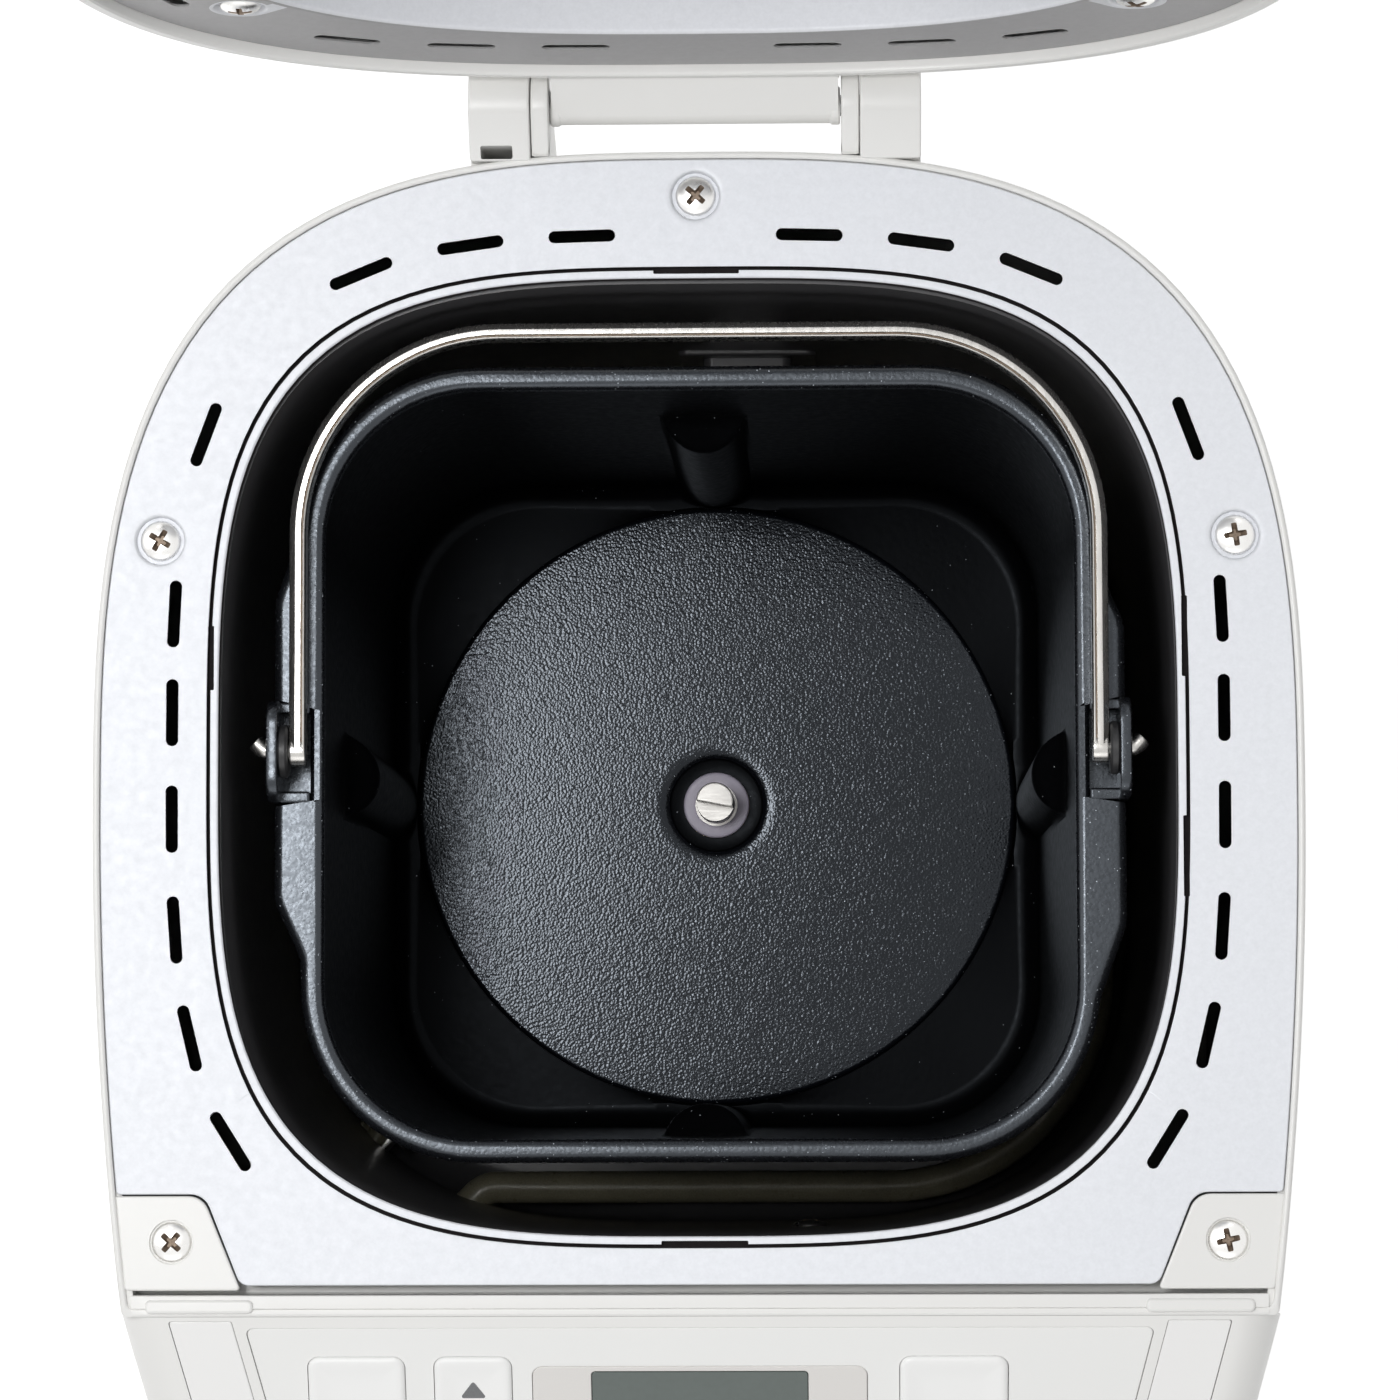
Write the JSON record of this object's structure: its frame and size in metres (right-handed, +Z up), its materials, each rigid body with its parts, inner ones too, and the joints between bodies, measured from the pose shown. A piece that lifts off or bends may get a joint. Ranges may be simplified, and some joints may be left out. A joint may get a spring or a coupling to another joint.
{
  "type": "bread machine",
  "caption": "Countertop bread maker with a hinged lid, a sloping key panel and a lift-out square bread pan driven by a belt.",
  "frame": {"origin": "middle of the footprint of the machine with its lid open, on the surface it stands on", "axes": "+Z up, -Y towards the user, +X to the user's right"},
  "size_m": [0.225, 0.3906, 0.451],
  "materials": {
    "white_plastic": "satin white moulded plastic",
    "fascia_plastic": "fine matt light grey plastic",
    "key_plastic": "white key caps",
    "display_glass": "grey display window",
    "display_surround": "light grey plastic",
    "deck_steel": "satin silver coated steel sheet",
    "chamber_black": "black coated sheet",
    "non_stick": "black non-stick coating with fine sparkle",
    "stainless": "polished stainless steel",
    "screw_steel": "plated screws",
    "heater_sheath": "dark olive heater sheath",
    "plain_steel": "zinc plated steel",
    "cast_aluminium": "die cast aluminium",
    "bronze": "sintered bronze",
    "copper": "enamelled copper",
    "board": "circuit board",
    "black_plastic": "black plastic",
    "pulley_plastic": "natural acetal",
    "rubber": "black rubber",
    "seal": "pale lavender silicone"
  },
  "bodies": {
    "base": {"base_tray": "white_plastic", "feet": "rubber", "chassis_screws": "screw_steel", "rear_housing": "white_plastic", "hinge_posts": "white_plastic", "cord_gland": "black_plastic", "front_housing": "white_plastic", "control_fascia": "fascia_plastic", "side_trims": "white_plastic", "display_surround": "display_surround", "display_window": "display_glass", "display_module": "board", "control_board": "board", "deck_plate": "deck_steel", "deck_screws": "screw_steel", "oven_chamber": "chamber_black", "heater": "heater_sheath", "heater_flange": "plain_steel", "chamber_screws": "screw_steel", "temperature_sensor": "chamber_black", "pan_socket": "plain_steel", "socket_screws": "screw_steel", "bearing_housing": "cast_aluminium", "drive_bush": "bronze", "drive_frame": "plain_steel", "stator_core": "plain_steel", "stator_coils": "copper", "motor_bells": "cast_aluminium", "motor_bolts": "screw_steel", "run_capacitor": "black_plastic", "power_board": "board", "drive_belt": "rubber"},
    "lid": {"lid_cover": "white_plastic", "lid_liner": "deck_steel", "lid_screws": "screw_steel", "hinge_bar": "white_plastic", "hinge_pins": "plain_steel"},
    "pan": {"pan_shell": "non_stick", "pan_base_ring": "cast_aluminium", "pan_bush": "bronze", "shaft_seal": "seal", "handle_ears": "non_stick"},
    "pan_spindle": {"pan_shaft": "stainless", "pan_wing": "cast_aluminium"},
    "handle": {"handle_strap": "stainless", "handle_discs": "black_plastic"},
    "drive": {"drive_shaft": "plain_steel", "drive_coupling": "cast_aluminium", "drive_pulley": "pulley_plastic", "pulley_nut": "plain_steel"},
    "motor_rotor": {"rotor": "plain_steel", "motor_shaft": "plain_steel", "motor_pulley": "plain_steel"},
    "menu_button": {"menu_key": "key_plastic"},
    "crust_button": {"crust_key": "key_plastic"},
    "up_button": {"up_key": "key_plastic"},
    "down_button": {"down_key": "key_plastic"},
    "start_button": {"start_key": "key_plastic"},
    "cancel_button": {"cancel_key": "key_plastic"}
  },
  "joints": [
    {"name": "lid_hinge", "type": "hinge", "parent": "base", "child": "lid", "pos_m": [0, 0.1319, 0.226], "axis": [-1, 0, 0], "range_deg": [-93, 0]},
    {"name": "pan_lift", "type": "slide", "parent": "base", "child": "pan", "axis": [0, 0, 1], "range_m": [0, 0.185]},
    {"name": "handle_swing", "type": "hinge", "parent": "pan", "child": "handle", "pos_m": [0, 0.0117, 0.2164], "axis": [1, 0, 0], "range_deg": [0, 180]},
    {"name": "drive_spin", "type": "hinge", "parent": "base", "child": "drive", "pos_m": [0, 0.0097, 0.0174], "axis": [0, 0, 1], "continuous": true},
    {"name": "pan_spin", "type": "hinge", "parent": "pan", "child": "pan_spindle", "pos_m": [0, 0.0097, 0.072], "axis": [0, 0, 1], "continuous": true},
    {"name": "motor_spin", "type": "hinge", "parent": "base", "child": "motor_rotor", "pos_m": [0, -0.14031, 0.0407], "axis": [0, 0, 1], "continuous": true},
    {"name": "menu_press", "type": "slide", "parent": "base", "child": "menu_button", "axis": [0, 0.4226, -0.9063], "range_m": [0, 0.0008], "stiffness_N_per_m": 300},
    {"name": "crust_press", "type": "slide", "parent": "base", "child": "crust_button", "axis": [0, 0.4226, -0.9063], "range_m": [0, 0.0008], "stiffness_N_per_m": 300},
    {"name": "up_press", "type": "slide", "parent": "base", "child": "up_button", "axis": [0, 0.4226, -0.9063], "range_m": [0, 0.0008], "stiffness_N_per_m": 300},
    {"name": "down_press", "type": "slide", "parent": "base", "child": "down_button", "axis": [0, 0.4226, -0.9063], "range_m": [0, 0.0008], "stiffness_N_per_m": 300},
    {"name": "start_press", "type": "slide", "parent": "base", "child": "start_button", "axis": [0, 0.4226, -0.9063], "range_m": [0, 0.0008], "stiffness_N_per_m": 300},
    {"name": "cancel_press", "type": "slide", "parent": "base", "child": "cancel_button", "axis": [0, 0.4226, -0.9063], "range_m": [0, 0.0008], "stiffness_N_per_m": 300}
  ],
  "couplings": [
    {"joint": "pan_spin", "follows": "drive_spin", "ratio": 1},
    {"joint": "motor_spin", "follows": "drive_spin", "ratio": 6}
  ]
}
